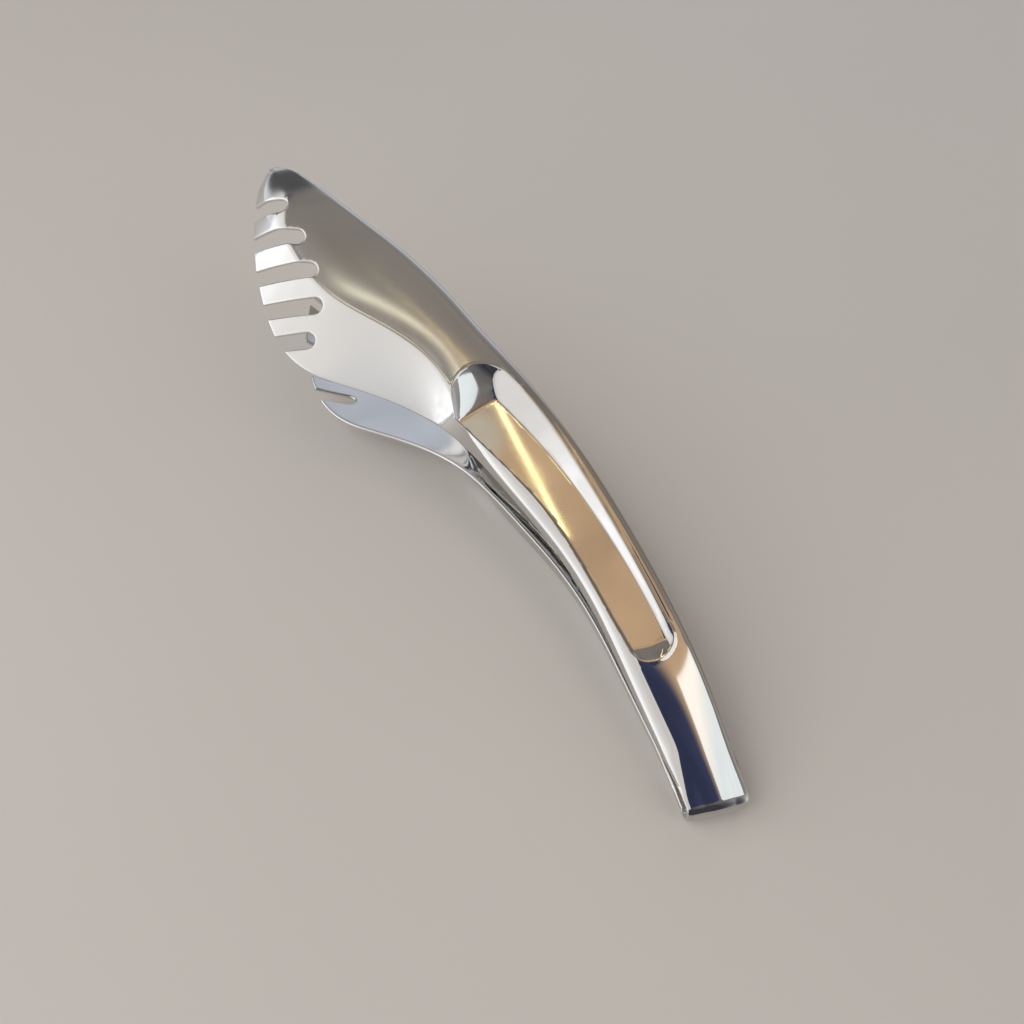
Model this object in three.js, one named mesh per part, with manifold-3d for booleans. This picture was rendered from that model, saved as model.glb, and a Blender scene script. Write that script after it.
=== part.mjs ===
// Curved steel serving tongs: two stamped channel arms with comb heads, joined by a sprung tail bow.
// Millimetres. X runs from the tail to the tips, +Y is the toothed side, +Z is up.
import * as THREE from "three";
import { mergeVertices } from "three/addons/utils/BufferGeometryUtils.js";
import Module from "manifold-3d";

const wasm = await Module();
wasm.setup();

// Sheet, tail and opening
const SHEET = 1.5;
const BOW_RADIUS = 5.3;
const TAIL_WIDTH = 19.8;
const SEAM_GAP = 0.3;
const BOW_STEPS = 20;
const WELD = 1e-4;
const TAIL_TURN = THREE.MathUtils.degToRad(21.9);
const CLOSED_ANGLE = THREE.MathUtils.degToRad(3.3);
const OPENING = THREE.MathUtils.degToRad(16.6);
const SWING = THREE.MathUtils.degToRad(8.5);

// The tail end stands here, so that the whole part is centred over the origin
const TAIL_AT = new THREE.Vector3(-123.08, -5.67, 0);

// Rims: depth under the outer land grows evenly from the tail, where the flange runs out
const RIM_AT_TAIL = 5.0;
const RIM_GROWTH = 0.0288;
const FLANGE_RUN_OUT = 24;
const RUN_OUT_LEAD = 0.3;
const SHOULDER = 2.4;
const HEAD_RIDGE = 4.0;
const RIDGE_FULL_RUN = 12;
const BEND_SHARE = 0.45;
const BEND_STEPS = 3;

// Stations along the arm: back edge x, y, toothed edge x, y, slope run, back depth, dip
const STATIONS = [
  [-3.7, -9.2, 3.7, 9.2, 0.3, 1.4, 0],
  [5.2, -12.8, 13.1, 6.7, 0.4, 2.8, 0],
  [14.3, -16.0, 20.8, 5.3, 0.5, 4.8, 0],
  [25.6, -18.7, 31.4, 3.5, 0.5, 5.7, 0],
  [43.6, -22.9, 47.7, 0.3, 0.5, 6.3, 0],
  [63.9, -26.3, 66.4, -3.4, 0.5, 6.9, 0],
  [86.8, -28.7, 88.0, -5.1, 0.5, 7.5, 0],
  [110.0, -30.2, 111.1, -3.1, 0.5, 8.1, 0],
  [130.6, -30.2, 129.5, -1.2, 1.0, 8.5, 0],
  [145.4, -29.5, 142.0, 1.2, 4.5, 8.6, 0],
  [158.0, -28.2, 150.9, 4.9, 13.0, 8.4, 0],
  [168.2, -26.8, 161.8, 11.2, 17.5, 7.9, 0],
  [176.8, -26.1, 173.4, 19.5, 22.5, 7.2, 0],
  [183.4, -25.2, 183.2, 27.0, 26.5, 6.5, 0],
  [190.1, -24.0, 192.2, 29.9, 25.4, 6.0, 0],
  [195.8, -22.7, 200.0, 30.2, 22.3, 5.6, 0],
  [205.0, -20.4, 211.0, 27.9, 18.0, 5.0, 0],
  [215.7, -16.9, 222.6, 23.7, 14.0, 4.6, 0.1],
  [226.7, -13.5, 233.0, 19.1, 11.0, 4.4, 0.4],
  [236.7, -10.8, 242.0, 13.4, 8.5, 4.6, 1.4],
  [244.6, -8.0, 248.2, 8.3, 5.8, 5.6, 3.2],
  [250.2, -5.4, 252.6, 4.2, 3.6, 7.4, 5.6],
  [253.2, -3.0, 254.6, 1.0, 1.4, 9.4, 8.6],
];
const STEPS_PER_STATION = 2;
const LAND_POINTS = 3;

// Comb slots: mouth x, y and inner end x, y. Each comb is stepped along, the lower one towards the tip
const SLOT_WIDTH = 5.0;
const SLOTS = [
  [244.1, 11.4, 235.6, 2.2],
  [234.0, 17.9, 222.2, 3.7],
  [222.9, 23.4, 210.2, 6.5],
  [211.1, 27.6, 199.6, 11.6],
  [199.0, 29.8, 192.3, 19.6],
];
const SLOT_OVERRUN = 9;
const SLOT_REACH = 18;
const SLOT_END_SEGMENTS = 8;
const LOWER_COMB_STEP = 2.0;
const UPPER_COMB_STEP = -0.6;

// Thumb recess: x, back side y, toothed side y of its rim
const RECESS_RIM = [
  [43.9, -14.0, -11.0],
  [45.2, -16.4, -9.0],
  [48.0, -18.1, -6.3],
  [52.0, -19.1, -4.9],
  [69.0, -21.4, -6.6],
  [87.0, -23.6, -8.4],
  [103.0, -24.9, -8.5],
  [118.0, -25.9, -6.8],
  [131.0, -26.0, -4.4],
  [140.0, -25.3, -3.0],
  [147.0, -23.8, -4.5],
  [151.5, -20.7, -7.2],
  [154.4, -16.0, -12.0],
];
const FLOOR_TAIL = 50;
const FLOOR_HEAD = 141;
// The floor's depth and the back wall's run at the tail end and at the head end
const RECESS_DEPTHS = [1.8, 4.2];
const BACK_WALL_RUNS = [1.6, 7.4];
const TOOTH_WALL_RUN = 1.2;
const PROUD = 1;

const tailwards = new THREE.Vector3(-Math.cos(TAIL_TURN), Math.sin(TAIL_TURN), 0);
const across = new THREE.Vector3(Math.sin(TAIL_TURN), Math.cos(TAIL_TURN), 0);
const bowCentre = new THREE.Vector3(0, 0, BOW_RADIUS);
const openingAxis = across.clone().multiplyScalar(-Math.cos(SWING));
openingAxis.z = Math.sin(SWING);

function toSolid(geometry) {
  geometry.deleteAttribute("normal");
  geometry.deleteAttribute("uv");
  const merged = mergeVertices(geometry, WELD);
  const vertProperties = new Float32Array(merged.attributes.position.array);
  const triVerts = new Uint32Array(merged.index.array);
  return new wasm.Manifold(new wasm.Mesh({ numProp: 3, vertProperties, triVerts }));
}

function toGeometry(solid) {
  const mesh = solid.getMesh();
  const geometry = new THREE.BufferGeometry();
  const points = [];
  for (let i = 0; i < mesh.numVert; i += 1) {
    points.push(...mesh.vertProperties.slice(i * mesh.numProp, i * mesh.numProp + 3));
  }
  geometry.setAttribute("position", new THREE.Float32BufferAttribute(points, 3));
  geometry.setIndex(Array.from(mesh.triVerts));
  geometry.computeVertexNormals();
  return geometry;
}

// A closed solid from rings of points that all have the same count, with its faces turned outwards
function skin(rings, capRing) {
  const count = rings[0].length;
  const points = rings.flat();
  const index = [];
  for (let i = 0; i + 1 < rings.length; i += 1) {
    for (let j = 0; j < count; j += 1) {
      const a = i * count + j;
      const b = i * count + ((j + 1) % count);
      index.push(a, b, b + count);
      index.push(a, b + count, a + count);
    }
  }
  const last = (rings.length - 1) * count;
  for (const [a, b, c] of capRing) {
    index.push(c, b, a);
    index.push(last + a, last + b, last + c);
  }
  let volume = 0;
  for (let i = 0; i < index.length; i += 3) {
    const [a, b, c] = [points[index[i]], points[index[i + 1]], points[index[i + 2]]];
    volume += a.clone().cross(b).dot(c);
  }
  if (volume < 0) {
    index.reverse();
  }
  const geometry = new THREE.BufferGeometry().setFromPoints(points);
  geometry.setIndex(index);
  return geometry;
}

// Points of a bend between two straight legs
function bend(from, corner, to) {
  const curve = new THREE.QuadraticBezierCurve(from, corner, to);
  return curve.getPoints(BEND_STEPS);
}

// One cross-section of an arm: distance from the back edge and depth under the land
function outerProfile(width, run, backDepth, rimDepth, dip) {
  const back = Math.min(SHOULDER, (backDepth - dip) * BEND_SHARE);
  const ridgeX = width - run;
  const slope = new THREE.Vector2(run, rimDepth - dip);
  const roundest = THREE.MathUtils.lerp(SHOULDER, HEAD_RIDGE, Math.min(run / RIDGE_FULL_RUN, 1));
  const round = Math.min(roundest, slope.length() * BEND_SHARE);
  slope.normalize().multiplyScalar(round);
  const backBend = bend(
    new THREE.Vector2(0, dip + back),
    new THREE.Vector2(0, dip),
    new THREE.Vector2(back, dip),
  );
  const ridgeBend = bend(
    new THREE.Vector2(ridgeX - round, dip),
    new THREE.Vector2(ridgeX, dip),
    new THREE.Vector2(ridgeX + slope.x, dip + slope.y),
  );
  const land = [];
  for (let k = 1; k <= LAND_POINTS; k += 1) {
    const share = k / (LAND_POINTS + 1);
    land.push(backBend[BEND_STEPS].clone().lerp(ridgeBend[0], share));
  }
  const rim = new THREE.Vector2(width, rimDepth);
  return [new THREE.Vector2(0, backDepth), ...backBend, ...land, ...ridgeBend, rim];
}

// The same section moved inwards by the sheet's thickness
function innerProfile(outer) {
  return outer.map((point, i) => {
    const before = outer[Math.max(i - 1, 0)];
    const after = outer[Math.min(i + 1, outer.length - 1)];
    const first = point.clone().sub(before);
    const second = after.clone().sub(point);
    const normals = [first, second]
      .filter((leg) => leg.length() > 0)
      .map((leg) => new THREE.Vector2(-leg.y, leg.x).normalize());
    const mean = normals[0].clone().add(normals[normals.length - 1]).normalize();
    return point.clone().addScaledVector(mean, SHEET / mean.dot(normals[0]));
  });
}

function column(first, second) {
  const points = STATIONS.map((row) => new THREE.Vector3(row[first], row[second], 0));
  return new THREE.CatmullRomCurve3(points, false, "catmullrom", 0.5);
}

function rimDepthAt(point) {
  const along = -point.dot(tailwards);
  const grown = RIM_AT_TAIL + RIM_GROWTH * along;
  const share = THREE.MathUtils.smoothstep(along, -FLANGE_RUN_OUT * RUN_OUT_LEAD, FLANGE_RUN_OUT);
  return Math.max(SHEET, grown * share);
}

// side is 1 for an arm that opens upwards and -1 for one that opens downwards
function armSheet(side) {
  const backEdge = column(0, 1);
  const toothedEdge = column(2, 3);
  const slopes = column(4, 5);
  const dips = column(6, 6);
  const steps = (STATIONS.length - 1) * STEPS_PER_STATION;
  const rings = [];
  for (let i = 0; i <= steps; i += 1) {
    const at = i / steps;
    const back = backEdge.getPoint(at);
    const toothed = toothedEdge.getPoint(at);
    const slope = slopes.getPoint(at);
    const dip = Math.max(dips.getPoint(at).x, 0);
    const width = back.distanceTo(toothed);
    const rimDepth = rimDepthAt(toothed);
    const outer = outerProfile(width, slope.x, slope.y, rimDepth, dip);
    const ring = [...outer, ...innerProfile(outer).reverse()];
    rings.push(
      ring.map((point) => {
        const place = back.clone().lerp(toothed, point.x / width);
        place.z = side * point.y;
        return place;
      }),
    );
  }
  const half = rings[0].length / 2;
  const cap = [];
  for (let j = 0; j + 1 < half; j += 1) {
    const far = 2 * half - 1 - j;
    cap.push([j, j + 1, far - 1], [j, far - 1, far]);
  }
  return toSolid(skin(rings, cap));
}

function slotCutter([mouthX, mouthY, endX, endY], step) {
  const mouth = new THREE.Vector2(mouthX, mouthY);
  const end = new THREE.Vector2(endX, endY);
  const along = mouth.clone().sub(end).normalize();
  const tipwards = new THREE.Vector2(along.y, -along.x);
  mouth.addScaledVector(tipwards, step);
  end.addScaledVector(tipwards, step);
  const heading = along.angle();
  const radius = SLOT_WIDTH / 2;
  const centre = end.clone().addScaledVector(along, radius);
  const open = mouth.clone().addScaledVector(along, SLOT_OVERRUN);
  const half = tipwards.clone().multiplyScalar(-radius);
  const shape = new THREE.Shape();
  shape.moveTo(open.x - half.x, open.y - half.y);
  shape.lineTo(open.x + half.x, open.y + half.y);
  shape.absarc(centre.x, centre.y, radius, heading + Math.PI / 2, heading + Math.PI * 1.5);
  const options = { depth: 2 * SLOT_REACH, bevelEnabled: false, curveSegments: SLOT_END_SEGMENTS };
  const geometry = new THREE.ExtrudeGeometry(shape, options);
  geometry.translate(0, 0, -SLOT_REACH);
  return toSolid(geometry);
}

function recessSide(which, x) {
  const inner = RECESS_RIM.slice(2, -2);
  let k = 0;
  while (k + 2 < inner.length && inner[k + 1][0] < x) {
    k += 1;
  }
  const share = (x - inner[k][0]) / (inner[k + 1][0] - inner[k][0]);
  return THREE.MathUtils.lerp(inner[k][which], inner[k + 1][which], share);
}

// The recess as a tapered solid: grow makes it larger all round for the boss behind the pocket
function recessSolid(side, grow, proud) {
  const first = RECESS_RIM[0][0];
  const last = RECESS_RIM[RECESS_RIM.length - 1][0];
  const rim = [];
  const floor = [];
  for (const which of [1, 2]) {
    const outwards = which === 1 ? -1 : 1;
    const rows = which === 1 ? RECESS_RIM : [...RECESS_RIM].reverse();
    for (const row of rows) {
      const share = (row[0] - first) / (last - first);
      const stretch = (2 * share - 1) * grow;
      const floorX = THREE.MathUtils.lerp(FLOOR_TAIL, FLOOR_HEAD, share);
      const run = which === 1 ? THREE.MathUtils.lerp(...BACK_WALL_RUNS, share) : TOOTH_WALL_RUN;
      const floorY = recessSide(which, floorX) - outwards * run;
      const depth = THREE.MathUtils.lerp(...RECESS_DEPTHS, share) + grow;
      rim.push(new THREE.Vector3(row[0] + stretch, row[which] + outwards * grow, 0));
      floor.push(new THREE.Vector3(floorX + stretch, floorY + outwards * grow, side * depth));
    }
  }
  const cap = [];
  for (let k = 0; k + 1 < RECESS_RIM.length; k += 1) {
    const opposite = rim.length - 1 - k;
    cap.push([k, k + 1, opposite - 1], [k, opposite - 1, opposite]);
  }
  const rings = [rim, floor];
  if (proud > 0) {
    rings.unshift(rim.map((p) => new THREE.Vector3(p.x, p.y, -side * proud)));
  }
  return toSolid(skin(rings, cap));
}

function arm(side, combStep) {
  let solid = armSheet(side);
  solid = solid.add(recessSolid(side, SHEET, 0));
  solid = solid.subtract(recessSolid(side, 0, PROUD));
  for (const slot of SLOTS) {
    solid = solid.subtract(slotCutter(slot, combStep));
  }
  return toGeometry(solid);
}

// The bow turns round its centre from the lower tail to the upper one, and takes up the opening evenly
function bow() {
  const middle = BOW_RADIUS - SHEET / 2;
  const span = Math.PI - CLOSED_ANGLE;
  const margin = SEAM_GAP / (middle * span);
  const rings = [];
  for (let i = 0; i <= BOW_STEPS; i += 1) {
    const share = THREE.MathUtils.lerp(margin, 1 - margin, i / BOW_STEPS);
    const turn = share * span;
    const outwards = tailwards.clone().multiplyScalar(Math.sin(turn));
    outwards.z = -Math.cos(turn);
    const corners = [
      [BOW_RADIUS, -TAIL_WIDTH / 2],
      [BOW_RADIUS, TAIL_WIDTH / 2],
      [BOW_RADIUS - SHEET, TAIL_WIDTH / 2],
      [BOW_RADIUS - SHEET, -TAIL_WIDTH / 2],
    ];
    rings.push(
      corners.map(([radius, offset]) => {
        const point = outwards.clone().multiplyScalar(radius).addScaledVector(across, offset);
        return point.applyAxisAngle(openingAxis, share * OPENING).add(bowCentre);
      }),
    );
  }
  const cap = [
    [0, 1, 2],
    [0, 2, 3],
  ];
  return skin(rings, cap);
}

function steel() {
  return new THREE.MeshStandardMaterial({ color: 0xcfcdc9, metalness: 1, roughness: 0.25 });
}

const tongs = new THREE.Group();
tongs.position.copy(TAIL_AT);

const lowerArm = new THREE.Mesh(arm(1, LOWER_COMB_STEP), steel());
lowerArm.name = "lower_arm";
tongs.add(lowerArm);

const tailBow = new THREE.Mesh(bow(), steel());
tailBow.name = "tail_bow";
tongs.add(tailBow);

const pivot = new THREE.Group();
pivot.position.copy(bowCentre);
const closed = new THREE.Quaternion().setFromAxisAngle(across, -CLOSED_ANGLE);
pivot.quaternion.setFromAxisAngle(openingAxis, OPENING).multiply(closed);
const upperArm = new THREE.Mesh(arm(-1, UPPER_COMB_STEP), steel());
upperArm.name = "upper_arm";
upperArm.position.z = BOW_RADIUS;
pivot.add(upperArm);
tongs.add(pivot);

export default tongs;
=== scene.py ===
"""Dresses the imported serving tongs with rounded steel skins, a floor, lights and the photo's camera."""
import math

import bpy
import numpy as np
from mathutils import Matrix, Quaternion, Vector


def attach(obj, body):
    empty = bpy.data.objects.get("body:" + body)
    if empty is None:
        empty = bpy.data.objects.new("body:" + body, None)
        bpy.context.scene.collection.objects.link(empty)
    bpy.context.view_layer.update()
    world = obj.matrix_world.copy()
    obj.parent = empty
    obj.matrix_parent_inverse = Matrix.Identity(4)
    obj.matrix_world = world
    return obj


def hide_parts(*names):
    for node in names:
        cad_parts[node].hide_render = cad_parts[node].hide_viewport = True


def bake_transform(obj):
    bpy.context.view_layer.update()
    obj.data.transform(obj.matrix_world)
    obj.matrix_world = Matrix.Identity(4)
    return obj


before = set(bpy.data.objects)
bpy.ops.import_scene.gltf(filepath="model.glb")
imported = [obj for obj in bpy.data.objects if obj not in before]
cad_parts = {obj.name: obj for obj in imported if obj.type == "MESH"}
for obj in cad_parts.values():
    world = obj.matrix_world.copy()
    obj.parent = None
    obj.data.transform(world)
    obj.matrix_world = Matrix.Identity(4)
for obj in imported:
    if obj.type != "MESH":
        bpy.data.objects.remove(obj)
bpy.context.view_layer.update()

MM = 0.001

# Sheet, tail and opening, in millimetres and degrees, as in the part
SHEET = 1.5
BOW_RADIUS = 5.3
TAIL_AT = Vector((-123.08, -5.67, 0))
TAIL_TURN = math.radians(21.9)
CLOSED_ANGLE = math.radians(3.3)
OPENING = math.radians(16.6)
SWING = math.radians(8.5)
# Rounding of the sheet's edges, which are square in the part
EDGE_ROUND = 0.55

# Rims and bends. Near the tail and the tip the walls flatten out into the plain strip
RIM_AT_TAIL = 5.0
RIM_GROWTH = 0.0288
TOOTHED_RUN_OUT = 20
BACK_RUN_OUT = 42
TAIL_LIFT = 0.1
FLANGE_RISE = 2.6
FLAT_RUN = 2.2
FLAT_RUN_SHARE = 0.2
WALL_RUNS = (0.05, 0.5)
WALL_RUN_CHANGE = (125, 170)
SHOULDER = 2.6
TOOTHED_SHOULDER = 4.6
TOOTHED_CHAMFER = 0.55
BACK_SHOULDERS = (2.6, 4.5)
BACK_SHOULDER_CHANGE = (100, 145)
HEAD_RIDGE = 1.0
RIDGE_FULL_RUN = 12
TIP_RIDGE = 9.0
TIP_BLEND = (40, 8)
BEND_SHARE = 0.45
TIP_THINNING = 0.35
TIP_BULGE = 0.8
TIP_RUN = 7
# How far the land is crowned near the tail and on the head, where along the arm, and its least width
LAND_CROWN = 0.25
CROWN_FADE = (25, 60)
HEAD_CROWN = 0.7
HEAD_CROWN_ENDS = (138, 168, 222, 250)
NARROWEST_LAND = 1

# Stations along the arm: back edge x, y, toothed edge x, y, slope run, back depth, dip
STATIONS = np.array([
    [-3.7, -9.2, 3.7, 9.2, 0.5, 5.0, 0],
    [5.2, -12.8, 13.1, 6.7, 0.5, 5.3, 0],
    [14.3, -16.0, 20.8, 5.3, 0.5, 5.5, 0],
    [25.6, -18.7, 31.4, 3.5, 0.5, 5.7, 0],
    [43.6, -22.9, 47.7, 0.3, 0.5, 6.3, 0],
    [63.9, -26.3, 66.4, -3.4, 0.5, 6.9, 0],
    [86.8, -28.7, 88.0, -5.1, 0.5, 7.5, 0],
    [110.0, -30.2, 111.1, -3.1, 0.5, 8.1, 0],
    [130.6, -30.2, 129.5, -1.2, 1.0, 8.5, 0],
    [145.4, -29.5, 142.0, 1.2, 4.5, 8.6, 0],
    [158.0, -28.2, 150.9, 4.9, 13.0, 8.4, 0],
    [168.2, -26.8, 161.8, 11.2, 17.5, 7.9, 0],
    [176.8, -26.1, 173.4, 19.5, 22.5, 7.2, 0],
    [183.4, -25.2, 183.2, 27.0, 26.5, 6.5, 0],
    [190.1, -24.0, 192.2, 29.9, 25.4, 6.0, 0],
    [195.8, -22.7, 200.0, 30.2, 22.3, 5.6, 0],
    [205.0, -20.4, 211.0, 27.9, 18.0, 5.0, 0],
    [215.7, -16.9, 222.6, 23.7, 14.0, 4.6, 0.1],
    [226.7, -13.5, 233.0, 19.1, 11.0, 4.4, 0.4],
    [236.8, -10.9, 242.0, 12.7, 8.2, 5.2, 1.9],
    [245.0, -8.3, 248.9, 7.6, 5.4, 7.0, 4.8],
    [250.6, -6.2, 252.8, 3.0, 3.2, 9.4, 7.7],
    [253.5, -4.4, 254.5, -1.3, 1.2, 11.2, 10.2],
])
# How freely the stations may shift so that the polished handle is fair, and how firmly each is held:
# the tail end is fixed, and the head and the tip are held more firmly than the handle
FAIRING = 900
HELD = np.full(len(STATIONS), 1.0)
HELD[0] = 1e6
HELD[11:] = 20
HELD[-4:] = 400

# Comb slots: mouth x, y and inner end x, y. Each comb is stepped along, the lower one towards the tip
SLOT_WIDTH = 5.0
SLOTS = [
    [244.1, 11.4, 235.6, 2.2],
    [234.0, 17.9, 222.2, 3.7],
    [222.9, 23.4, 210.2, 6.5],
    [211.1, 27.6, 199.6, 11.6],
    [199.0, 29.8, 192.3, 19.6],
]
LOWER_COMB_STEP = 2.0
UPPER_COMB_STEP = -0.6
COMB_FROM = 180

# Thumb recess: x, then the y of its back rim, of its floor's back edge and of its toothed rim
RECESS_LINES = np.array([
    [46.0, -17.6, -15.6, -4.6],
    [52.0, -19.2, -17.3, -4.6],
    [64.0, -20.9, -19.1, -5.9],
    [75.0, -22.3, -20.3, -7.3],
    [88.0, -23.8, -21.2, -8.5],
    [100.0, -24.8, -21.5, -8.7],
    [108.0, -25.4, -21.4, -8.1],
    [118.0, -26.0, -20.8, -6.7],
    [127.0, -26.2, -19.9, -4.9],
    [135.0, -25.9, -18.7, -3.3],
    [141.0, -25.3, -17.7, -2.2],
    [147.0, -24.4, -16.6, -1.5],
])
LINE_FAIRING = 300
# Rounded ends: x where the rounding starts, reach, middle y and half width. Then how square they are,
# and the most slant of theirs that counts in how steep their walls are
TAIL_ROUND = (51.5, -7.4, -11.8, 7.3)
HEAD_ROUND = (138.5, 16.0, -13.6, 12.0)
ROUND_POWER = 2.3
ROUND_TURN = 1.0
SLANT_STEP = 0.01
# The floor's ends: x at the middle of the recess and how it changes with y
RECESS_MIDDLE = -12.2
FLOOR_TAIL = (48.75, 0.345)
FLOOR_HEAD = (141.0, 0.08)
# Depth at the tail and the head end, the walls' runs, and the fillets
RECESS_DEPTHS = (1.2, 4.2)
TOOTH_WALL_RUN = 0.8
END_WALL_RUN = 2.0
HEAD_WALL_HOLLOW = 0.35
STEEPEST = 3.0
RIM_FILLET = 0.35
FLOOR_FILLET = 0.35
FLOOR_FADE = 0.5
WALL_FILLET = 0.25
FILLET_DEPTHS = (0.01, 1)
# Beads that show as fine lines of light, beside the rim and further out
BEAD_HEIGHT = 0.1
BEAD_WIDTH = 0.5
RIM_BEAD_AT = -0.6
OUTER_BEAD_AT = -2.2
OUTER_BEAD_SHARE = 0.7
OUTER_BEAD_ENDS = (46, 58, 140, 152)
BEAD_CLEARANCE = (3, 6)
BOSS_GROWTH = 0.8
BOSS_FILLET = 1.5

# A place on the sheet is its distance along the arm and a count across it, from 0 to 5: the count goes
# up by one over each of the wall, the bend, the land, the ridge and the facet
ACROSS_END = 5

# Mesh density
BOW_STEPS = 40
SEAM_STEP = 0.004
RING_STEP = 1.2
FINE_STEP = 0.6
FINE_ZONES = [(41, 57), (137, 157), (234, 300)]
FINE_SAMPLES = 4000
EDGE_STEPS = EDGE_ROUND * (1 - np.cos(np.radians([0, 30, 60, 90])))
WALL_COLUMNS = 3
BEND_COLUMNS = 7
LAND_COLUMNS = 30
RIDGE_COLUMNS = 8
FACET_COLUMNS = 26
SHARP_ANGLE = math.radians(55)
# Lines of points at these distances from the edges of the recess, and the zone they are drawn in
RIM_LINES = (-3.0, -2.6, -2.2, -1.85, -1.5, -1.0, -0.6, -0.25, 0.05, 0.35, 0.7)
FLOOR_LINES = (-0.35, 0, 0.35)
CREASE_LINES = (-0.25, 0, 0.25)
RECESS_ZONE = (40, 160)
RECESS_COLUMNS = (1, 4.9)
# How near a point moves onto such a line, and the small steps and limits used to find the line
SNAP = 0.06
NUDGE = 0.001
LEAST_SLOPE = 0.01
COLUMN_SCALE = 10
HALVINGS = 24
TINY = 1e-9

# Finish: where the polished handle turns into the satin head, and the polish round the recess
SATIN_FROM = (138, 166)
POLISHED_RIM = 1.2
# Roughness and tones from polished to satin, and what hairlines and smudges add
ROUGHNESS = (0.035, 0.17)
HAIR_RANGE = (0.45, 0.75)
HAIR_ROUGHNESS = 0.025
SMUDGE_RANGE = (0.4, 0.75)
SMUDGE_ROUGHNESS = 0.02
POLISHED_TONES = ((0.60, 0.585, 0.565, 1), (0.67, 0.665, 0.65, 1))
SATIN_TONES = ((0.70, 0.69, 0.67, 1), (0.76, 0.755, 0.745, 1))
HAIR_STRETCH = 0.03
HAIR_RELIEF = 0.2
RELIEF_STRENGTH = 0.025
RELIEF_HEIGHT = 0.00005

# The floor's half side in metres and its tones
FLOOR_REACH = 3.0
FLOOR_TONES = ((0.88, 0.84, 0.785, 1), (0.92, 0.88, 0.825, 1))

# The photograph's camera, in metres
CAMERA_AT = Vector((-0.16239, 0.09337, 0.30984))
CAMERA_HEADING = Vector((0.83646, -0.54803, 0))
CAMERA_DOWN = math.radians(58)
FOCAL_PIXELS = 1000
FRAME_PIXELS = 1024
SENSOR_MM = 36

# The room: its colour at the horizon and overhead, where it changes, and how uneven it is
HORIZON = (0.82, 0.84, 0.88, 1)
ZENITH = (0.25, 0.23, 0.21, 1)
ZENITH_CHANGE = (0.15, 0.9)
UNEVEN_RANGE = (0.35, 0.65)
ROOM_STRENGTHS = (0.85, 1.12)
# Soft patches of the room: direction, cosines where a patch starts and is full, colour
ROOM_PATCHES = [
    ((0.0, -1.0, 0.25), 0.75, 0.95, (0.26, 0.21, 0.16, 1)),
    ((0.6, -0.75, 0.28), 0.85, 0.96, (0.56, 0.60, 0.69, 1)),
    ((0.88, -0.05, 0.48), 0.85, 0.96, (0.09, 0.09, 0.095, 1)),
    ((-0.80, 0.52, 0.25), 0.6, 0.9, (0.06, 0.06, 0.075, 1)),
    ((-0.25, -0.1, 0.96), 0.955, 0.985, (0.69, 0.475, 0.29, 1)),
    ((-0.025, -0.06, 0.998), 0.9992, 0.9998, (0.70, 0.63, 0.50, 1)),
    ((-0.42, 0.10, 0.90), 0.974, 0.986, (0.05, 0.06, 0.125, 1)),
]

# Lamps: name, place, size, the direction of the width, radiance, colour
LAMPS = [
    ("window_softbox", (0.2, 1.1, 0.9), (3.0, 2.1), (1, 0, 0), 0.7, (1.0, 0.99, 0.98)),
    ("tail_softbox", (-1.03, -0.42, 1.5), (0.55, 0.46), (1, 0, 0), 1.05, (0.84, 0.95, 1.0)),
    ("head_softbox", (0.075, 0.085, 1.5), (0.24, 0.07), (1, 1.54, 0), 1.9, (1.0, 0.96, 0.74)),
    ("warm_strip", (-0.035, -0.160, 1.5), (0.48, 0.006), (1, -0.06, 0), 4.5, (1.0, 0.86, 0.40)),
]

TAILWARDS = np.array([-math.cos(TAIL_TURN), math.sin(TAIL_TURN)])
ACROSS = Vector((math.sin(TAIL_TURN), math.cos(TAIL_TURN), 0))
OPENING_AXIS = ACROSS * -math.cos(SWING) + Vector((0, 0, math.sin(SWING)))
BOW_CENTRE = Vector((0, 0, BOW_RADIUS))


def smoothstep(x, low, high):
    share = np.clip((x - low) / (high - low), 0, 1)
    return share * share * (3 - 2 * share)


def lerp(a, b, share):
    return a + (b - a) * share


def smooth_min(a, b, size):
    overlap = np.maximum(size - np.abs(a - b), 0) / size
    return np.minimum(a, b) - overlap * overlap * size / 4


def smooth_max(a, b, size):
    return -smooth_min(-a, -b, size)


class FairCurve:
    """Smooth curves close to rows of values; a weight holds a row in place."""

    def __init__(self, at, values, weights, fairing):
        step = np.diff(at)
        count = len(at)
        bends = np.zeros((count, count - 2))
        tie = np.zeros((count - 2, count - 2))
        for k in range(count - 2):
            bends[k, k] = 1 / step[k]
            bends[k + 1, k] = -1 / step[k] - 1 / step[k + 1]
            bends[k + 2, k] = 1 / step[k + 1]
            tie[k, k] = (step[k] + step[k + 1]) / 3
            if k:
                tie[k, k - 1] = tie[k - 1, k] = step[k] / 6
        ease = fairing / np.asarray(weights)[:, None]
        curving = np.linalg.solve(tie + bends.T @ (ease * bends), bends.T @ values)
        self.at = at
        self.values = values - ease * (bends @ curving)
        self.curving = np.vstack([0 * values[:1], curving, 0 * values[:1]])

    def __call__(self, where):
        k = np.clip(np.searchsorted(self.at, where, "right") - 1, 0, len(self.at) - 2)
        step = (self.at[k + 1] - self.at[k])[:, None]
        after = where[:, None] - self.at[k][:, None]
        before = step - after
        straight = (after * self.values[k + 1] + before * self.values[k]) / step
        late = (1 + after / step) * self.curving[k + 1]
        early = (1 + before / step) * self.curving[k]
        return straight - after * before / 6 * (late + early)


def chord_lengths(*curves):
    """Running length through the points of the curves, as their mean."""
    steps = [np.linalg.norm(np.diff(points, axis=0), axis=1) for points in curves]
    return np.concatenate([[0], np.cumsum(np.mean(steps, axis=0))])


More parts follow.
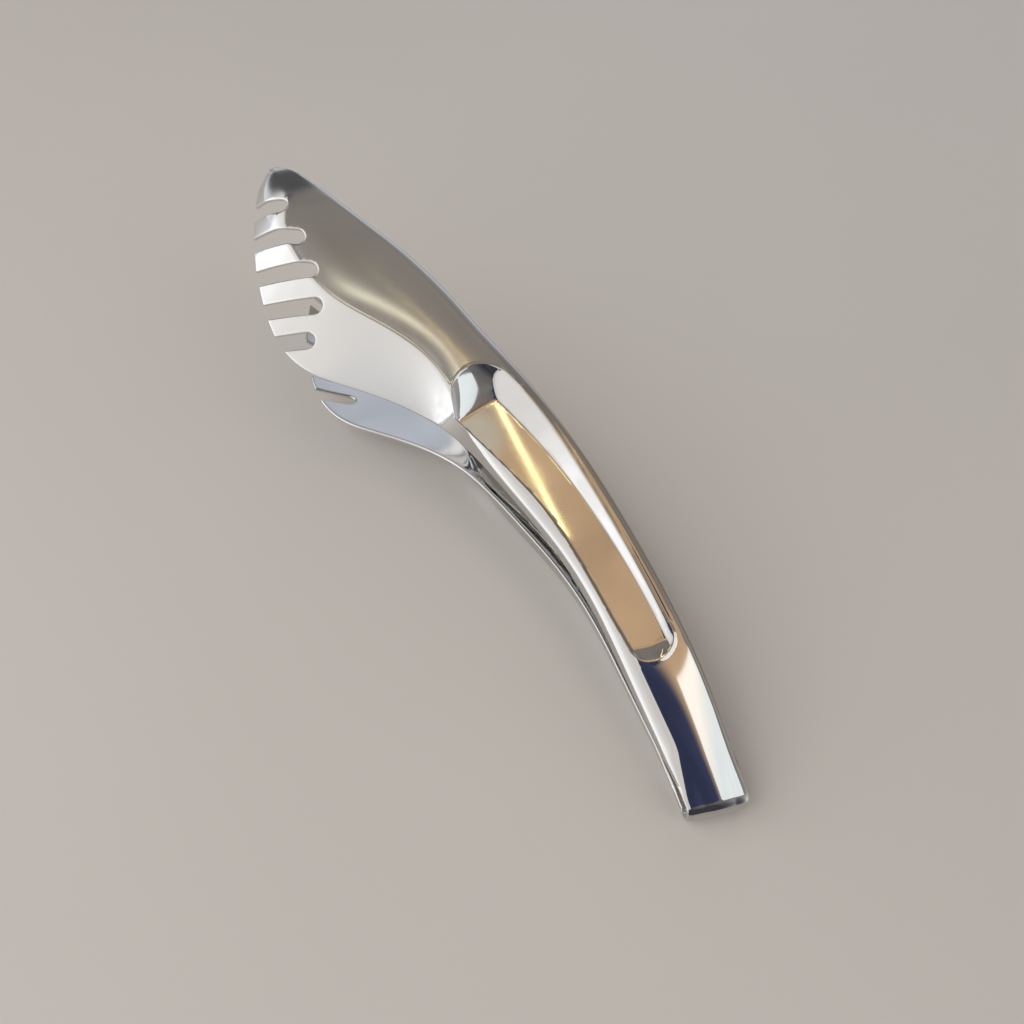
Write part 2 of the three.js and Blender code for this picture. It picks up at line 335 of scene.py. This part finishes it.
STATION_AT = chord_lengths(STATIONS[:, 0:2], STATIONS[:, 2:4])
LENGTH = STATION_AT[-1]
fair_stations = FairCurve(STATION_AT, STATIONS, HELD, FAIRING)


def bezier(a, b, c, t):
    """A point on the bend from a to c round the corner b, each a pair of arrays."""
    return [(1 - t) ** 2 * i + 2 * t * (1 - t) * j + t * t * k for i, j, k in zip(a, b, c)]


class Section:
    """The cross-sections of an arm's outer surface at given station positions."""

    def __init__(self, s):
        columns = fair_stations(s).T
        self.back = columns[0:2].T
        self.toothed = columns[2:4].T
        self.width = np.linalg.norm(self.toothed - self.back, axis=-1)
        self.dip = np.maximum(columns[6], 0)
        along = -(self.toothed @ TAILWARDS)
        rim = RIM_AT_TAIL + RIM_GROWTH * along
        flat_run = np.minimum(FLAT_RUN, FLAT_RUN_SHARE * self.width)
        back_rise = columns[5] - self.dip
        back_share = smoothstep(back_rise, SHEET, SHEET + FLANGE_RISE)
        back_lift = smoothstep(-(self.back @ TAILWARDS), 0, BACK_RUN_OUT)
        back_share = back_share * lerp(TAIL_LIFT, 1, back_lift)
        rim_share = smoothstep(rim - self.dip, SHEET, SHEET + FLANGE_RISE)
        rim_share = rim_share * lerp(TAIL_LIFT, 1, smoothstep(along, 0, TOOTHED_RUN_OUT))
        wall_run = lerp(*WALL_RUNS, smoothstep(self.back[:, 0], *WALL_RUN_CHANGE))
        starts, full, fades, ends = HEAD_CROWN_ENDS
        head_crown = HEAD_CROWN * smoothstep(s, starts, full) * (1 - smoothstep(s, fades, ends))
        self.crown = LAND_CROWN * (1 - smoothstep(s, *CROWN_FADE)) + head_crown
        self.back_run = lerp(flat_run, wall_run, back_share)
        self.back_fall = back_rise * back_share - head_crown
        self.run = np.maximum(columns[4], flat_run * (1 - rim_share))
        self.rim_fall = (rim - self.dip) * rim_share - head_crown
        self.back_length = np.hypot(self.back_run, self.back_fall)
        self.rim_length = np.hypot(self.run, self.rim_fall)
        self.ridge = self.width - self.run
        room = (self.ridge - self.back_run) * BEND_SHARE
        on_head = np.minimum(self.run / RIDGE_FULL_RUN, 1)
        widest = lerp(SHOULDER, HEAD_RIDGE, on_head)
        ridge_width = lerp(TOOTHED_SHOULDER, HEAD_RIDGE, on_head)
        tip_share = smoothstep(s, LENGTH - TIP_BLEND[0], LENGTH - TIP_BLEND[1])
        widest = lerp(widest, TIP_RIDGE, tip_share)
        ridge_width = lerp(ridge_width, TIP_RIDGE, tip_share)
        self.back_leg = np.minimum(np.minimum(SHOULDER, self.back_length * BEND_SHARE), room)
        self.rim_leg = np.minimum(np.minimum(widest, self.rim_length * BEND_SHARE), room)
        shoulder = lerp(*BACK_SHOULDERS, smoothstep(self.back[:, 0], *BACK_SHOULDER_CHANGE))
        self.land_from = self.back_run + np.minimum(shoulder, room)
        self.land_to = self.ridge - np.minimum(ridge_width, room)
        self.chamfer = TOOTHED_CHAMFER * (1 - on_head) * rim_share

    def profile(self, q):
        """Distance from the back edge and depth, where q counts wall, bend, land, ridge and facet."""
        back_share = self.back_leg / self.back_length
        rim_share = self.rim_leg / self.rim_length
        on_wall = (self.back_run * (1 - back_share), self.back_fall * back_share)
        on_facet = (self.ridge + self.run * rim_share, self.rim_fall * rim_share)
        zero = np.zeros_like(q)
        t = [np.clip(q - k, 0, 1) for k in range(ACROSS_END)]
        wall = [lerp(a, b, t[0]) for a, b in zip((zero, self.back_fall), on_wall)]
        bend = bezier(on_wall, (self.back_run, zero), (self.land_from, zero), t[1])
        land = [lerp(self.land_from, self.land_to, t[2]), zero]
        ridge = bezier((self.land_to, zero), (self.ridge, zero), on_facet, t[3])
        chord = [lerp(a, b, t[3]) for a, b in zip((self.land_to, zero), on_facet)]
        ridge = [lerp(a, b, self.chamfer) for a, b in zip(ridge, chord)]
        facet = [lerp(a, b, t[4]) for a, b in zip(on_facet, (self.width, self.rim_fall))]
        pick = np.clip(q.astype(int), 0, ACROSS_END - 1)
        w, depth = (np.choose(pick, list(parts)) for parts in zip(wall, bend, land, ridge, facet))
        land_width = np.maximum(self.land_to - self.land_from, NARROWEST_LAND)
        middle = (2 * w - self.land_from - self.land_to) / land_width
        return w, depth + self.dip + self.crown * np.clip(middle * middle, 0, 1)

    def edge_distance(self, q):
        """Distance along the sheet to its nearer long edge."""
        wall = (self.back_length - self.back_leg) * q
        facet = (self.rim_length - self.rim_leg) * (ACROSS_END - q)
        far = np.full_like(q, SHEET)
        return np.where(q < 1, wall, np.where(q > ACROSS_END - 1, facet, far))


def near_tip(s):
    """How far a place is into the last stretch before the tip, from 0 to 1."""
    return np.clip((s - LENGTH) / TIP_RUN + 1, 0, 1)


def base_surface(at):
    """Points of the plain outer surface without its recess, depth counted as z."""
    s, q = at[:, 0], at[:, 1]
    section = Section(s)
    w, depth = section.profile(q)
    share = w / section.width
    plan = lerp(section.back, section.toothed, share[:, None])
    towards = section.toothed - section.back
    heading = np.stack([towards[:, 1], -towards[:, 0]], -1)
    bulge = TIP_BULGE * near_tip(s) ** 2 * (1 - (2 * share - 1) ** 2)
    plan = plan + heading / section.width[:, None] * bulge[:, None]
    return np.column_stack([plan, depth])


def base_normals(at):
    """Outward unit normals of the plain outer surface."""
    nudges = []
    for axis, most in ((0, LENGTH), (1, ACROSS_END)):
        low, high = at.copy(), at.copy()
        low[:, axis] = np.maximum(at[:, axis] - NUDGE, 0)
        high[:, axis] = np.minimum(at[:, axis] + NUDGE, most)
        nudges.append(base_surface(high) - base_surface(low))
    normals = np.cross(nudges[1], nudges[0])
    return normals / np.linalg.norm(normals, axis=1)[:, None]


recess_lines = FairCurve(
    RECESS_LINES[:, 0], RECESS_LINES[:, 1:], np.ones(len(RECESS_LINES)), LINE_FAIRING
)


def recess_line(x, which):
    """The y of the recess's back rim, 0, its floor's back edge, 1, or its toothed rim, 2."""
    return recess_lines(np.clip(x, recess_lines.at[0], recess_lines.at[-1]))[:, which]


def rim_end(round_end, y):
    """The x of one of the recess rim's rounded ends."""
    start, reach, middle, half = round_end
    share = np.clip(np.abs(y - middle) / half, 0, 1)
    return start + reach * (1 - share ** ROUND_POWER) ** (1 / ROUND_POWER)


def recess_floor(x):
    """Depth of the recess floor, which falls evenly from the tail end to the head end."""
    return lerp(*RECESS_DEPTHS, np.clip((x - FLOOR_TAIL[0]) / (FLOOR_HEAD[0] - FLOOR_TAIL[0]), 0, 1))


def recess_walls(points, grow=0):
    """Depth on each wall's plane of the thumb recess, and how steep each wall is."""
    x, y = points[:, 0], points[:, 1]
    back_rim = recess_line(x, 0)
    walls = [
        (y - back_rim + grow, recess_line(x, 1) - back_rim, 0, 0),
        (recess_line(x, 2) - y + grow, TOOTH_WALL_RUN, 0, 0),
    ]
    ends = ((TAIL_ROUND, FLOOR_TAIL, 1, 0), (HEAD_ROUND, FLOOR_HEAD, -1, HEAD_WALL_HOLLOW))
    for round_end, (floor_x, slant), way, hollow in ends:
        rim_x = rim_end(round_end, y)
        floor_end = floor_x + slant * (y - RECESS_MIDDLE)
        change = rim_end(round_end, y + SLANT_STEP) - rim_end(round_end, y - SLANT_STEP)
        turn = np.clip(change / (2 * SLANT_STEP), -ROUND_TURN, ROUND_TURN)
        run = np.maximum((floor_end - rim_x) * way, END_WALL_RUN)
        walls.append(((x - rim_x) * way + grow, run, turn, hollow))
    floor_depth = recess_floor(x)
    depths, steepness = [], []
    for distance, run, turn, hollow in walls:
        share = distance / run
        depths.append(floor_depth * share * (1 + hollow - hollow * np.clip(share, 0, 1)))
        steepness.append(np.minimum(floor_depth / run * np.sqrt(1 + np.square(turn)), STEEPEST))
    return depths, steepness


def recess(points, grow, rim_fillet, floor_fillet):
    """How far the thumb recess lowers points of the plain surface; grow makes it larger all round."""
    plain = points[:, 2]
    lowest = smooth_max(recess_floor(points[:, 0]), plain, FLOOR_FADE)
    result = lowest
    for depth, steep in zip(*recess_walls(points, grow)):
        depth = smooth_max(depth, plain, rim_fillet * steep)
        depth = smooth_min(depth, lowest, floor_fillet * steep)
        shallow = np.minimum(depth, result) - plain
        result = smooth_min(depth, result, WALL_FILLET * np.clip(shallow, *FILLET_DEPTHS))
    return np.maximum(result - plain, 0)


def tail_distance(points):
    """Distance in plan to the rounded tail end of the recess rim, positive inside it."""
    start, reach, middle, half = TAIL_ROUND
    along = np.maximum((points[:, 0] - start) / reach, 0)
    across = np.abs(points[:, 1] - middle) / half
    size = np.maximum(along ** ROUND_POWER + across ** ROUND_POWER, TINY) ** (1 / ROUND_POWER)
    along_slope = (along / size) ** (ROUND_POWER - 1) / reach
    across_slope = (across / size) ** (ROUND_POWER - 1) / half
    return (1 - size) / np.maximum(np.hypot(along_slope, across_slope), TINY)


def rim_distance(points):
    """Distance in plan to the recess rim, positive inside it."""
    walls = zip(*recess_walls(points))
    beside = np.min([(depth - points[:, 2]) / steep for depth, steep in walls], axis=0)
    return np.where(points[:, 0] < TAIL_ROUND[0], tail_distance(points), beside)


def beads(points):
    """Height of the fine beads along the recess rim and beside its back rim."""
    x, y = points[:, 0], points[:, 1]
    from_rim = rim_distance(points)
    low, full, fade, end = OUTER_BEAD_ENDS
    outer = OUTER_BEAD_SHARE * smoothstep(x, low, full) * (1 - smoothstep(x, fade, end))
    outer = outer * (y < (recess_line(x, 0) + recess_line(x, 2)) / 2)
    shape = np.exp(-np.square((from_rim - RIM_BEAD_AT) / BEAD_WIDTH))
    shape = shape + outer * np.exp(-np.square((from_rim - OUTER_BEAD_AT) / BEAD_WIDTH))
    return BEAD_HEIGHT * smoothstep(recess_line(x, 2) - y, *BEAD_CLEARANCE) * shape


def floor_distance(points):
    """Distance in plan to the edge of the recess floor, positive on it."""
    floor_depth = recess_floor(points[:, 0])
    walls = zip(*recess_walls(points))
    return np.min([(depth - floor_depth) / steep for depth, steep in walls], axis=0)


def crease_distance(points, side, end):
    """Distance in plan to the crease between a side wall and an end wall."""
    depths, steepness = recess_walls(points)
    return (depths[side] - depths[end]) / (steepness[side] + steepness[end])


def ring_positions():
    """Places of the rings along the arm, closer together where the form changes quickly."""
    s = np.linspace(0, LENGTH, FINE_SAMPLES)
    section = Section(s)
    middle = (section.back[:, 0] + section.toothed[:, 0]) / 2
    step = np.full_like(s, RING_STEP)
    for low, high in FINE_ZONES:
        step[(middle > low) & (middle < high)] = FINE_STEP
    count = np.concatenate([[0], np.cumsum(np.diff(s) / step[1:])])
    rings = np.interp(np.linspace(0, count[-1], int(count[-1])), count, s)
    end = LENGTH - EDGE_STEPS[::-1]
    return np.concatenate([rings[rings < end[0] - EDGE_ROUND], end])


def columns_of(s):
    """Section positions of the columns, one row for each ring."""
    section = Section(s)
    back_wall = section.back_length - section.back_leg
    facet = section.rim_length - section.rim_leg
    columns = [distance / back_wall for distance in EDGE_STEPS]
    last = columns[-1]
    columns += [lerp(last, 1, k / WALL_COLUMNS) for k in range(1, WALL_COLUMNS)]
    columns += [np.full_like(s, 1 + k / BEND_COLUMNS) for k in range(BEND_COLUMNS)]
    columns += [np.full_like(s, 2 + k / LAND_COLUMNS) for k in range(LAND_COLUMNS)]
    columns += [np.full_like(s, 3 + k / RIDGE_COLUMNS) for k in range(RIDGE_COLUMNS)]
    first = ACROSS_END - EDGE_ROUND / facet
    columns += [lerp(4, first, k / FACET_COLUMNS) for k in range(FACET_COLUMNS)]
    columns += [ACROSS_END - distance / facet for distance in EDGE_STEPS[::-1]]
    return np.stack(columns, -1)


def slot_distance(points, slot, step):
    """Distance in plan to a comb slot, negative inside it."""
    mouth, end = np.array(slot[:2]), np.array(slot[2:])
    along = (mouth - end) / np.linalg.norm(mouth - end)
    tipwards = np.array([along[1], -along[0]])
    from_centre = points[:, :2] - end - along * SLOT_WIDTH / 2 - tipwards * step
    ahead = np.maximum(from_centre @ along, 0)
    nearest = from_centre - ahead[:, None] * along
    return np.linalg.norm(nearest, axis=1) - SLOT_WIDTH / 2


def settle(at, level):
    """Moves points very near the line where level is zero onto it; returns each point's side."""
    height = level(at)
    inside = (at > 0).all(axis=1) & (at < (LENGTH, ACROSS_END)).all(axis=1)
    near = (np.abs(height) < SNAP) & inside
    if near.any():
        points = at[near]
        steps = ((NUDGE, 0), (0, NUDGE / COLUMN_SCALE))
        slope = [(level(points + step) - height[near]) / NUDGE for step in steps]
        share = -height[near] / np.maximum(slope[0] ** 2 + slope[1] ** 2, LEAST_SLOPE)
        at = at.copy()
        at[near] = points + np.column_stack([slope[0] * share, slope[1] * share / COLUMN_SCALE])
    return at, np.where(near, 0, np.sign(height))


def split(faces, at, level):
    """Cuts the faces along the line where level is zero; at holds each point's place on the sheet."""
    at, side = settle(at, level)
    cuts = {}

    def cut_point(a, b):
        key = (min(a, b), max(a, b))
        return cuts.setdefault(key, len(at) + len(cuts))

    result = []
    for face in faces:
        if side[face].min() >= 0 or side[face].max() <= 0:
            result.append(face)
            continue
        low, high = [], []
        for a, b in zip(face, face[1:] + face[:1]):
            if side[a] <= 0:
                low.append(a)
            if side[a] >= 0:
                high.append(a)
            if side[a] * side[b] < 0:
                low.append(cut_point(a, b))
                high.append(cut_point(a, b))
        result += [part for part in (low, high) if len(part) > 2]
    if not cuts:
        return result, at
    pairs = np.array(list(cuts))
    start, end = at[pairs[:, 0]], at[pairs[:, 1]]
    low, high = np.zeros(len(pairs)), np.ones(len(pairs))
    for _ in range(HALVINGS):
        middle = (low + high) / 2
        same = (level(lerp(start, end, middle[:, None])) > 0) == (side[pairs[:, 0]] > 0)
        low, high = np.where(same, middle, low), np.where(same, high, middle)
    return result, np.vstack([at, lerp(start, end, high[:, None])])


def split_at(faces, at, distance, offsets):
    """Cuts the faces along lines at the given distances, which are measured in plan."""
    for offset in offsets:
        faces, at = split(faces, at, lambda p: distance(base_surface(p)) - offset)
    return faces, at


def apart(faces, chosen):
    """Faces with any chosen point, and the others."""
    return [f for f in faces if chosen[f].any()], [f for f in faces if not chosen[f].any()]


def mark_recess(faces, at):
    """Adds lines of points along the edges of the thumb recess."""
    x = base_surface(at)[:, 0]
    zone = (x > RECESS_ZONE[0]) & (x < RECESS_ZONE[1])
    zone = zone & (at[:, 1] > RECESS_COLUMNS[0]) & (at[:, 1] < RECESS_COLUMNS[1])
    near, rest = apart(faces, zone)
    near, at = split_at(near, at, rim_distance, RIM_LINES)
    pocket, collar = apart(near, rim_distance(base_surface(at)) > 0)
    pocket, at = split_at(pocket, at, floor_distance, FLOOR_LINES)
    for side in (0, 1):
        for end in (2, 3):
            pocket, at = split_at(pocket, at, lambda p: crease_distance(p, side, end), CREASE_LINES)
    return rest + collar + pocket, at


def comb(faces, at, step):
    """Cuts the slots out, with lines of points beside them for the rounded edges."""
    head, rest = apart(faces, base_surface(at)[:, 0] > COMB_FROM)
    for slot in SLOTS:
        head, at = split_at(head, at, lambda p: slot_distance(p, slot, step), EDGE_STEPS)
    centres = np.array([at[face].mean(axis=0) for face in head])
    points = base_surface(centres)
    clear = np.min([slot_distance(points, slot, step) for slot in SLOTS], axis=0) > 0
    return rest + [face for face, keep in zip(head, clear) if keep], at


def boundary(faces):
    """Edges that only one face has, in that face's direction."""
    found = {}
    for face in faces:
        for a, b in zip(face, face[1:] + face[:1]):
            found[(a, b)] = True
    return [edge for edge in found if (edge[1], edge[0]) not in found]


def sheet_mesh(name, outer, inner, faces, attributes):
    """A closed sheet from matching outer and inner points, in metres."""
    count = len(outer)
    skins = list(faces) + [[k + count for k in reversed(face)] for face in faces]
    walls = [[b, a, a + count, b + count] for a, b in boundary(faces)]
    mesh = bpy.data.meshes.new(name)
    mesh.from_pydata(np.vstack([outer, inner]).tolist(), [], skins + walls)
    for key, values in attributes.items():
        layer = mesh.attributes.new(key, "FLOAT", "POINT")
        layer.data.foreach_set("value", np.tile(values, 2).astype(np.float32))
    mesh.shade_smooth()
    mesh.set_sharp_from_angle(angle=SHARP_ANGLE)
    mesh.validate()
    piece = bpy.data.objects.new(name, mesh)
    bpy.context.scene.collection.objects.link(piece)
    return piece


def used_only(faces, *tables):
    """Drops the points that no face uses."""
    used = np.unique(np.concatenate([np.array(face) for face in faces]))
    renumber = np.zeros(used.max() + 1, int)
    renumber[used] = np.arange(len(used))
    return [renumber[face].tolist() for face in faces], [table[used] for table in tables]


def half_thickness(distance, sheet):
    """Half the sheet's thickness, rounded off near an edge at the given distance."""
    short = EDGE_ROUND - np.clip(distance, 0, EDGE_ROUND)
    return sheet / 2 - EDGE_ROUND + np.sqrt(EDGE_ROUND ** 2 - short ** 2)


def arm(name, side, comb_step, place):
    """One arm; side is 1 where it opens upwards and -1 where it opens downwards."""
    rings = ring_positions()
    q = columns_of(rings)
    at = np.column_stack([np.repeat(rings, q.shape[1]), q.ravel()])
    wide = q.shape[1]
    faces = [
        [i * wide + j, i * wide + j + 1, (i + 1) * wide + j + 1, (i + 1) * wide + j]
        for i in range(len(rings) - 1)
        for j in range(wide - 1)
    ]
    faces, at = comb(faces, at, comb_step)
    faces, at = mark_recess(faces, at)
    faces, (at,) = used_only(faces, at)
    base = base_surface(at)
    normals = base_normals(at)
    section = Section(at[:, 0])
    distance = np.minimum(section.edge_distance(at[:, 1]), LENGTH - at[:, 0])
    for slot in SLOTS:
        distance = np.minimum(distance, slot_distance(base, slot, comb_step))
    sheet = SHEET * (1 - TIP_THINNING * near_tip(at[:, 0]) ** 2)
    half = half_thickness(distance, sheet)
    outer = base - normals * (sheet / 2 - half)[:, None]
    inner = base - normals * (sheet / 2 + half)[:, None]
    outer[:, 2] += recess(base, 0, RIM_FILLET, FLOOR_FILLET) - beads(base)
    inner[:, 2] += recess(base, BOSS_GROWTH, BOSS_FILLET, BOSS_FILLET)
    flip = np.array([1, 1, side])
    world = [
        np.array([place(Vector(point)) * MM for point in points * flip])
        for points in (outer, inner)
    ]
    if side > 0:
        faces = [face[::-1] for face in faces]
    outside = np.maximum(-rim_distance(base), 0)
    attributes = {
        "along": base[:, 0],
        "across": section.profile(at[:, 1])[0],
        "satin": smoothstep(base[:, 0], *SATIN_FROM) * (1 - np.exp(-np.square(outside / POLISHED_RIM))),
    }
    return sheet_mesh(name, *world, faces, attributes)


def bow(name):
    """The sprung bend, turned round its centre from the lower tail to the upper one."""
    tail = columns_of(ring_positions())[0]
    at = np.column_stack([np.zeros_like(tail), tail])
    section = Section(at[:, 0])
    w, depth = section.profile(tail)
    half = half_thickness(section.edge_distance(tail), SHEET)
    offset = w - section.width / 2
    shares = np.concatenate([[0, SEAM_STEP], np.linspace(0, 1, BOW_STEPS)[1:-1], [1 - SEAM_STEP, 1]])
    tailwards = Vector((TAILWARDS[0], TAILWARDS[1], 0))
    skins = [[], []]
    for share in shares:
        turn = share * (math.pi - CLOSED_ANGLE)
        outwards = tailwards * math.sin(turn) - Vector((0, 0, math.cos(turn)))
        opened = Quaternion(OPENING_AXIS, share * OPENING)
        for skin, sign in zip(skins, (1, -1)):
            for sideways, deep, thick in zip(offset, depth, half):
                radius = BOW_RADIUS - deep - SHEET / 2 + sign * thick
                point = outwards * radius + ACROSS * sideways
                skin.append((opened @ point + BOW_CENTRE + TAIL_AT) * MM)
    wide = len(tail)
    faces = [
        [i * wide + j, (i + 1) * wide + j, (i + 1) * wide + j + 1, i * wide + j + 1]
        for i in range(len(shares) - 1)
        for j in range(wide - 1)
    ]
    lengths = -shares * BOW_RADIUS * math.pi
    attributes = {
        "along": np.repeat(lengths, wide),
        "across": np.tile(w, len(shares)),
        "satin": np.zeros(len(shares) * wide),
    }
    return sheet_mesh(name, np.array(skins[0]), np.array(skins[1]), faces, attributes)


def place_lower(point):
    """A point of the lower arm, from the tail's own axes to where it lies."""
    return point + TAIL_AT


def place_upper(point):
    """A point of the upper arm, from the tail's own axes to where it stands open."""
    closed = Quaternion(ACROSS, -CLOSED_ANGLE)
    opened = Quaternion(OPENING_AXIS, OPENING)
    return opened @ (closed @ (point + BOW_CENTRE)) + BOW_CENTRE + TAIL_AT


def node_tree(owner):
    owner.use_nodes = True
    owner.node_tree.nodes.clear()
    return owner.node_tree


def add(tree, kind, inputs=None, **settings):
    """A node with its settings made and its inputs set or linked."""
    node = tree.nodes.new(kind)
    for key, value in settings.items():
        setattr(node, key, value)
    for key, value in (inputs or {}).items():
        if isinstance(value, bpy.types.NodeSocket):
            tree.links.new(value, node.inputs[key])
        else:
            node.inputs[key].default_value = value
    return node


def ramp(tree, value, low, high, at_low, at_high):
    """A smooth change of value, from low to high, into the range at_low to at_high."""
    inputs = {"Value": value, "From Min": low, "From Max": high, "To Min": at_low, "To Max": at_high}
    return add(tree, "ShaderNodeMapRange", inputs, interpolation_type="SMOOTHSTEP").outputs["Result"]


def mix(tree, share, low, high):
    """A colour between low and high; 6, 7 and the output 2 are the node's colour sockets."""
    return add(tree, "ShaderNodeMix", {"Factor": share, 6: low, 7: high}, data_type="RGBA").outputs[2]


def calculate(tree, operation, a, b):
    return add(tree, "ShaderNodeMath", {0: a, 1: b}, operation=operation).outputs[0]


def steel():
    """Stainless steel: a satin head, a polished handle, hairlines along the arm and light wear."""
    material = bpy.data.materials.new("stainless_steel")
    tree = node_tree(material)
    along = add(tree, "ShaderNodeAttribute", attribute_name="along").outputs["Fac"]
    across = add(tree, "ShaderNodeAttribute", attribute_name="across").outputs["Fac"]
    satin = add(tree, "ShaderNodeAttribute", attribute_name="satin").outputs["Fac"]
    stretched = calculate(tree, "MULTIPLY", along, HAIR_STRETCH)
    strip = add(tree, "ShaderNodeCombineXYZ", {"X": stretched, "Y": across}).outputs[0]
    hairs = add(
        tree, "ShaderNodeTexNoise",
        {"Vector": strip, "Scale": 7.0, "Detail": 5.0, "Roughness": 0.7},
    ).outputs["Fac"]
    where = add(tree, "ShaderNodeTexCoord").outputs["Object"]
    grain = add(
        tree, "ShaderNodeTexNoise", {"Vector": where, "Scale": 3200.0, "Detail": 2.0}
    ).outputs["Fac"]
    smudges = add(
        tree, "ShaderNodeTexNoise", {"Vector": where, "Scale": 42.0, "Detail": 4.0, "Roughness": 0.6}
    ).outputs["Fac"]
    rough = ramp(tree, satin, 0, 1, *ROUGHNESS)
    rough = calculate(tree, "ADD", rough, ramp(tree, hairs, *HAIR_RANGE, 0, HAIR_ROUGHNESS))
    rough = calculate(tree, "ADD", rough, ramp(tree, smudges, *SMUDGE_RANGE, 0, SMUDGE_ROUGHNESS))
    tone = mix(tree, satin, mix(tree, smudges, *POLISHED_TONES), mix(tree, smudges, *SATIN_TONES))
    relief = calculate(tree, "MULTIPLY", grain, satin)
    relief = calculate(tree, "ADD", relief, calculate(tree, "MULTIPLY", hairs, HAIR_RELIEF))
    bump = add(
        tree, "ShaderNodeBump",
        {"Strength": RELIEF_STRENGTH, "Distance": RELIEF_HEIGHT, "Height": relief},
    ).outputs["Normal"]
    shader = add(
        tree, "ShaderNodeBsdfPrincipled",
        {"Base Color": tone, "Metallic": 1.0, "Roughness": rough, "Normal": bump},
    )
    add(tree, "ShaderNodeOutputMaterial", {"Surface": shader.outputs[0]})
    return material


def floor_material():
    material = bpy.data.materials.new("pale_floor")
    tree = node_tree(material)
    where = add(tree, "ShaderNodeTexCoord").outputs["Object"]
    cloud = add(
        tree, "ShaderNodeTexNoise", {"Vector": where, "Scale": 6.0, "Detail": 3.0}
    ).outputs["Fac"]
    colour = mix(tree, cloud, *FLOOR_TONES)
    shader = add(tree, "ShaderNodeBsdfPrincipled", {"Base Color": colour, "Roughness": 0.42})
    add(tree, "ShaderNodeOutputMaterial", {"Surface": shader.outputs[0]})
    return material


def softbox(name, at, size, along, radiance, colour):
    """A lamp that faces the middle of the object, with its width in the direction along."""
    lamp = bpy.data.lights.new(name, "AREA")
    lamp.shape = "RECTANGLE"
    lamp.size, lamp.size_y = size
    lamp.energy = radiance * math.pi * size[0] * size[1]
    lamp.color = colour
    holder = bpy.data.objects.new(name, lamp)
    back = Vector(at).normalized()
    side = (Vector(along) - back * back.dot(along)).normalized()
    turn = Matrix((side, back.cross(side), back)).transposed()
    holder.matrix_world = Matrix.Translation(at) @ turn.to_4x4()
    bpy.context.scene.collection.objects.link(holder)


def world_light():
    """A soft room: warm and dim overhead, cooler at the sides, dark behind the tip and the camera."""
    world = bpy.data.worlds.new("studio")
    tree = node_tree(world)
    where = add(tree, "ShaderNodeTexCoord").outputs["Generated"]
    height = add(tree, "ShaderNodeSeparateXYZ", {0: where}).outputs["Z"]
    colour = mix(tree, ramp(tree, height, *ZENITH_CHANGE, 0, 1), HORIZON, ZENITH)
    for direction, low, high, shade in ROOM_PATCHES:
        towards = Vector(direction).normalized()
        aligned = add(
            tree, "ShaderNodeVectorMath", {0: where, 1: tuple(towards)}, operation="DOT_PRODUCT"
        ).outputs["Value"]
        colour = mix(tree, ramp(tree, aligned, low, high, 0, 1), colour, shade)
    uneven = add(
        tree, "ShaderNodeTexNoise", {"Vector": where, "Scale": 7.0, "Detail": 3.0, "Roughness": 0.55}
    ).outputs["Fac"]
    strength = ramp(tree, uneven, *UNEVEN_RANGE, *ROOM_STRENGTHS)
    shader = add(tree, "ShaderNodeBackground", {"Color": colour, "Strength": strength})
    add(tree, "ShaderNodeOutputWorld", {"Surface": shader.outputs[0]})
    bpy.context.scene.world = world


def floor():
    mesh = bpy.data.meshes.new("floor")
    corners = [(-1, -1), (1, -1), (1, 1), (-1, 1)]
    mesh.from_pydata([(x * FLOOR_REACH, y * FLOOR_REACH, 0) for x, y in corners], [], [[0, 1, 2, 3]])
    mesh.materials.append(floor_material())
    ground = bpy.data.objects.new("floor", mesh)
    bpy.context.scene.collection.objects.link(ground)


def camera():
    data = bpy.data.cameras.new("camera")
    data.sensor_width = SENSOR_MM
    data.lens = SENSOR_MM * FOCAL_PIXELS / FRAME_PIXELS
    data.clip_start = 0.01
    holder = bpy.data.objects.new("camera", data)
    forward = CAMERA_HEADING.normalized() * math.cos(CAMERA_DOWN) - Vector((0, 0, math.sin(CAMERA_DOWN)))
    right = forward.cross(Vector((0, 0, 1))).normalized()
    up = right.cross(forward)
    turn = Matrix((right, up, -forward)).transposed()
    holder.matrix_world = Matrix.Translation(CAMERA_AT) @ turn.to_4x4()
    bpy.context.scene.collection.objects.link(holder)
    bpy.context.scene.camera = holder


camera()
finish = steel()

lower_skin = arm("lower_arm_skin", 1, LOWER_COMB_STEP, place_lower)
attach(lower_skin, "lower")
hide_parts("lower_arm")

upper_skin = arm("upper_arm_skin", -1, UPPER_COMB_STEP, place_upper)
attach(upper_skin, "upper")
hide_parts("upper_arm")

bow_skin = bow("tail_bow_skin")
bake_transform(bow_skin)
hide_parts("tail_bow")

for piece in (lower_skin, upper_skin, bow_skin):
    piece.data.materials.append(finish)

floor()
world_light()
for lamp in LAMPS:
    softbox(*lamp)

bpy.context.scene.view_settings.view_transform = "Standard"
